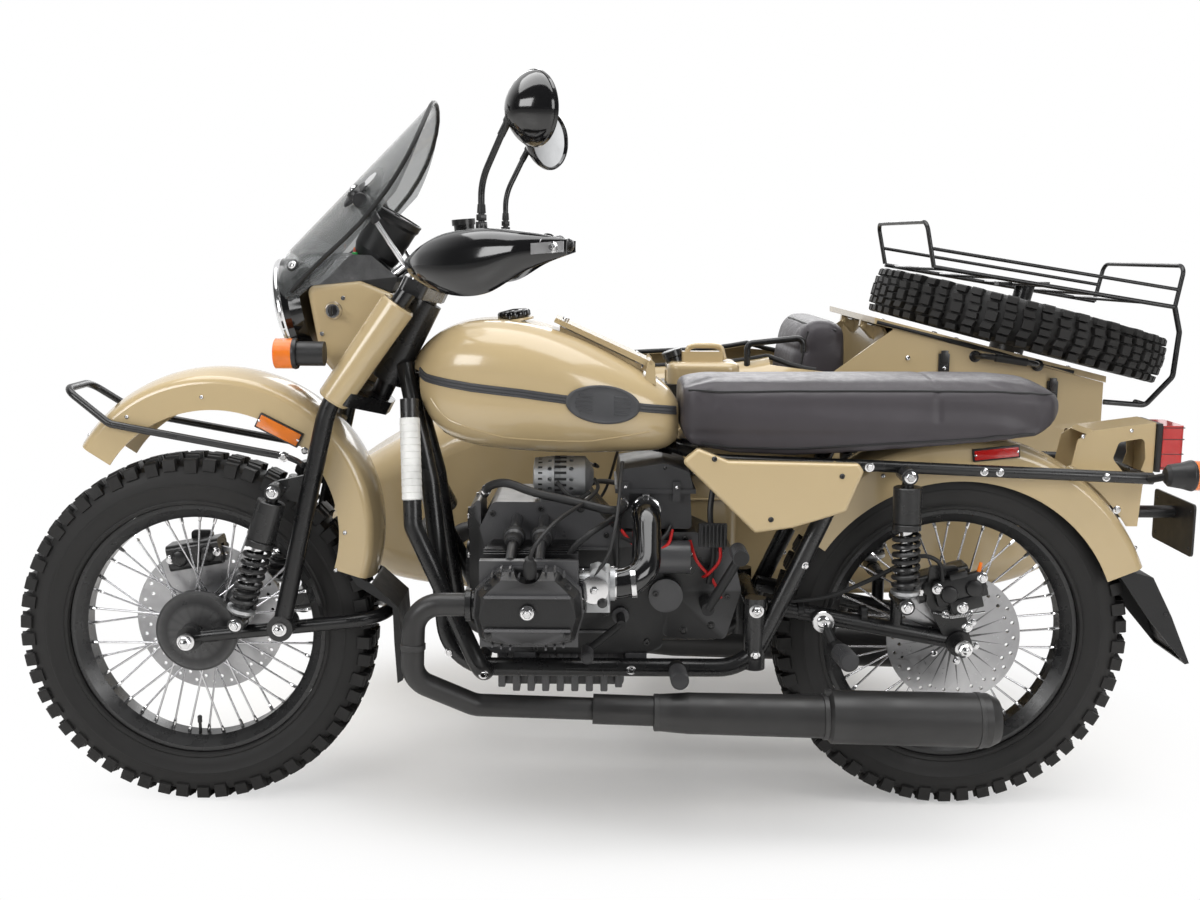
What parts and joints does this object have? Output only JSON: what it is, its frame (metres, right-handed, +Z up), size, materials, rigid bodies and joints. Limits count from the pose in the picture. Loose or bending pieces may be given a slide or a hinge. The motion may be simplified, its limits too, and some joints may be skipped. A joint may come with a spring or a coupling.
{
  "type": "sidecar motorcycle",
  "caption": "Flat-twin motorcycle with a leading-link fork, wire-spoke wheels and a boat-shaped sidecar carrying a spare wheel and a luggage rack.",
  "frame": {"origin": "on the ground under the middle of the whole outfit's box", "axes": "+X forward, +Y to the rider's left, +Z up; the sidecar is on the -Y side"},
  "size_m": [2.4374, 1.6749, 1.36],
  "materials": {
    "tan_paint": "gloss sand paint",
    "black_paint": "satin black paint",
    "black_engine": "black crackle paint",
    "cast_alloy": "cast alloy",
    "steel": "brushed steel",
    "chrome": "polished",
    "black_plastic": "matt black",
    "gloss_black": "gloss black",
    "rubber": "matt black rubber",
    "tyre": "matt black",
    "vinyl": "black vinyl",
    "clear_glass": "clear",
    "smoked": "smoked",
    "amber": "amber lens",
    "red_lens": "red lens"
  },
  "bodies": {
    "chassis": {"main_frame": "black_paint", "swingarm": "black_paint", "rear_shocks": "black_paint", "rear_calipers": "black_paint", "rear_fender": "tan_paint", "rear_flap": "rubber", "tail_lamp": "red_lens", "rear_indicators": "amber", "engine_case": "black_engine", "cylinders": "black_engine", "valve_covers": "black_engine", "exhausts": "black_paint", "air_box": "black_plastic", "crash_bars": "black_paint", "fuel_tank": "tan_paint", "seat": "vinyl", "side_covers": "tan_paint", "sidecar_body": "tan_paint", "sidecar_seat": "vinyl", "sidecar_fender": "tan_paint", "sidecar_frame": "black_paint", "jerry_can": "tan_paint", "sidecar_fittings": "black_paint", "fuel_cap": "black_plastic", "knee_pads": "rubber", "foot_controls": "rubber", "intakes": "cast_alloy", "plate_bracket": "black_paint"},
    "steering": {"fork": "black_paint", "leading_link": "black_paint", "front_shocks": "black_paint", "front_fender": "tan_paint", "front_flap": "rubber", "front_bumper": "black_paint", "nacelle": "tan_paint", "headlight": "gloss_black", "headlight_glass": "clear_glass", "windshield": "smoked", "dash": "black_plastic", "handlebar": "black_paint", "grips": "rubber", "hand_guards": "gloss_black", "mirrors": "gloss_black", "front_indicators": "amber", "front_caliper": "black_paint"},
    "front_wheel_set": {"front_tyre": "tyre", "front_wheel": "steel"},
    "rear_wheel_set": {"rear_tyre": "tyre", "rear_wheel": "steel"},
    "sidecar_wheel_set": {"sidecar_tyre": "tyre", "sidecar_wheel": "steel"},
    "trunk": {"trunk_lid": "tan_paint", "spare_tyre": "tyre", "spare_wheel": "steel", "rack": "black_paint"},
    "toolbox": {"tank_lid": "tan_paint"}
  },
  "joints": [
    {"name": "steering_turn", "type": "hinge", "parent": "chassis", "child": "steering", "pos_m": [0.4285, 0.3875, 0.985], "axis": [-0.454, 0, 0.891], "range_deg": [-35, 35]},
    {"name": "front_spin", "type": "hinge", "parent": "steering", "child": "front_wheel_set", "pos_m": [0.8785, 0.3875, 0.343], "axis": [0, 1, 0], "continuous": true},
    {"name": "rear_spin", "type": "hinge", "parent": "chassis", "child": "rear_wheel_set", "pos_m": [-0.5765, 0.3875, 0.343], "axis": [0, 1, 0], "continuous": true},
    {"name": "sidecar_spin", "type": "hinge", "parent": "chassis", "child": "sidecar_wheel_set", "pos_m": [-0.3265, -0.7525, 0.343], "axis": [0, 1, 0], "continuous": true},
    {"name": "trunk_hinge", "type": "hinge", "parent": "chassis", "child": "trunk", "pos_m": [-0.5065, -0.3, 0.903], "axis": [0, 1, 0], "range_deg": [0, 65]},
    {"name": "toolbox_hinge", "type": "hinge", "parent": "chassis", "child": "toolbox", "pos_m": [0.0105, 0.3875, 0.868], "axis": [0, -1, 0], "range_deg": [0, 80]}
  ]
}
